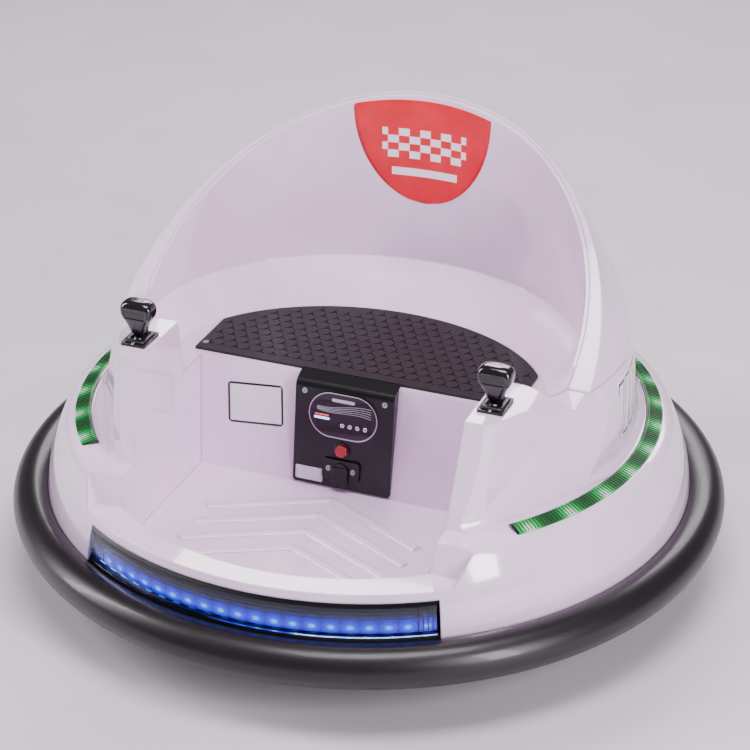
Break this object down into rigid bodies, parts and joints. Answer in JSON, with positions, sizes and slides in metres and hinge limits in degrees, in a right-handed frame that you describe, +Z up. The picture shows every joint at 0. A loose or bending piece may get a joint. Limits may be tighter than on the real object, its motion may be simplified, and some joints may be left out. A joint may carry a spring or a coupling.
{
  "type": "child's electric ride-on bumper car",
  "caption": "Round ride-on car with a bumper ring, an open-fronted hood, a footwell, two levers and lamps.",
  "frame": {"origin": "on the floor, under the middle of the round body", "axes": "+Z up, -Y forward, +X to the left of someone who rides facing forward"},
  "size_m": [0.735, 0.7348, 0.4324],
  "materials": {
    "white_shell": "glossy moulded",
    "ring_rubber": "satin",
    "pan_black": "satin moulded",
    "mat_black": "matt, grooved",
    "panel_black": "satin",
    "silver_trim": "bright",
    "red_switch": "glossy",
    "lamp_black": "glossy",
    "lamp_cover_blue": "clear, tinted",
    "lamp_cover_green": "clear, tinted",
    "led_blue": "lit",
    "lever_black": "satin moulded",
    "tyre_rubber": "matt",
    "hub_plastic": "moulded",
    "steel_zinc": "zinc plated",
    "gearbox_black": "moulded",
    "caster_plastic": "moulded",
    "battery_case": "moulded"
  },
  "bodies": {
    "car": {"axle_left": "steel_zinc", "axle_right": "steel_zinc", "battery": "battery_case", "body_shell": "white_shell", "bumper_ring": "ring_rubber", "caster_plate_front": "steel_zinc", "caster_plate_rear": "steel_zinc", "charging_socket_cover": "panel_black", "chassis_pan": "pan_black", "cockpit_tub": "white_shell", "control_panel": "panel_black", "drive_unit_left": "gearbox_black", "drive_unit_right": "gearbox_black", "front_lamp_cover": "lamp_cover_blue", "front_lamp_housing": "lamp_black", "front_lamp_leds": "led_blue", "hood_shell": "white_shell", "lever_plate_left": "panel_black", "lever_plate_right": "panel_black", "player_bezel": "silver_trim", "power_switch": "red_switch", "seat_mat": "mat_black", "side_lamp_channel_left": "lamp_black", "side_lamp_channel_right": "lamp_black", "side_lamp_cover_left": "lamp_cover_green", "side_lamp_cover_right": "lamp_cover_green"},
    "drive_wheel_left": {"drive_tyre_left": "tyre_rubber", "drive_hub_left": "hub_plastic"},
    "drive_wheel_right": {"drive_tyre_right": "tyre_rubber", "drive_hub_right": "hub_plastic"},
    "caster_swivel_front": {"caster_fork_front": "steel_zinc", "caster_pin_front": "steel_zinc"},
    "caster_roller_front": {"caster_wheel_front": "caster_plastic"},
    "caster_swivel_rear": {"caster_fork_rear": "steel_zinc", "caster_pin_rear": "steel_zinc"},
    "caster_roller_rear": {"caster_wheel_rear": "caster_plastic"},
    "lever_arm_left": {"lever_left": "lever_black"},
    "lever_arm_right": {"lever_right": "lever_black"}
  },
  "joints": [
    {"name": "drive_wheel_left_spin", "type": "hinge", "parent": "car", "child": "drive_wheel_left", "pos_m": [-0.236, 0.01, 0.065], "axis": [1, 0, 0], "continuous": true},
    {"name": "drive_wheel_right_spin", "type": "hinge", "parent": "car", "child": "drive_wheel_right", "pos_m": [0.236, 0.01, 0.065], "axis": [1, 0, 0], "continuous": true},
    {"name": "caster_front_swivel", "type": "hinge", "parent": "car", "child": "caster_swivel_front", "pos_m": [0, -0.232, 0.07], "axis": [0, 0, 1], "continuous": true},
    {"name": "caster_front_roll", "type": "hinge", "parent": "caster_swivel_front", "child": "caster_roller_front", "pos_m": [0, -0.216, 0.025], "axis": [1, 0, 0], "continuous": true},
    {"name": "caster_rear_swivel", "type": "hinge", "parent": "car", "child": "caster_swivel_rear", "pos_m": [0, 0.232, 0.07], "axis": [0, 0, 1], "continuous": true},
    {"name": "caster_rear_roll", "type": "hinge", "parent": "caster_swivel_rear", "child": "caster_roller_rear", "pos_m": [0, 0.248, 0.025], "axis": [1, 0, 0], "continuous": true},
    {"name": "lever_left_rock", "type": "hinge", "parent": "car", "child": "lever_arm_left", "pos_m": [-0.1845, -0.143, 0.2593], "axis": [1, 0, 0], "range_deg": [-20, 20], "stiffness_Nm_per_rad": 0.6},
    {"name": "lever_right_rock", "type": "hinge", "parent": "car", "child": "lever_arm_right", "pos_m": [0.1845, -0.143, 0.2593], "axis": [1, 0, 0], "range_deg": [-20, 20], "stiffness_Nm_per_rad": 0.6}
  ]
}
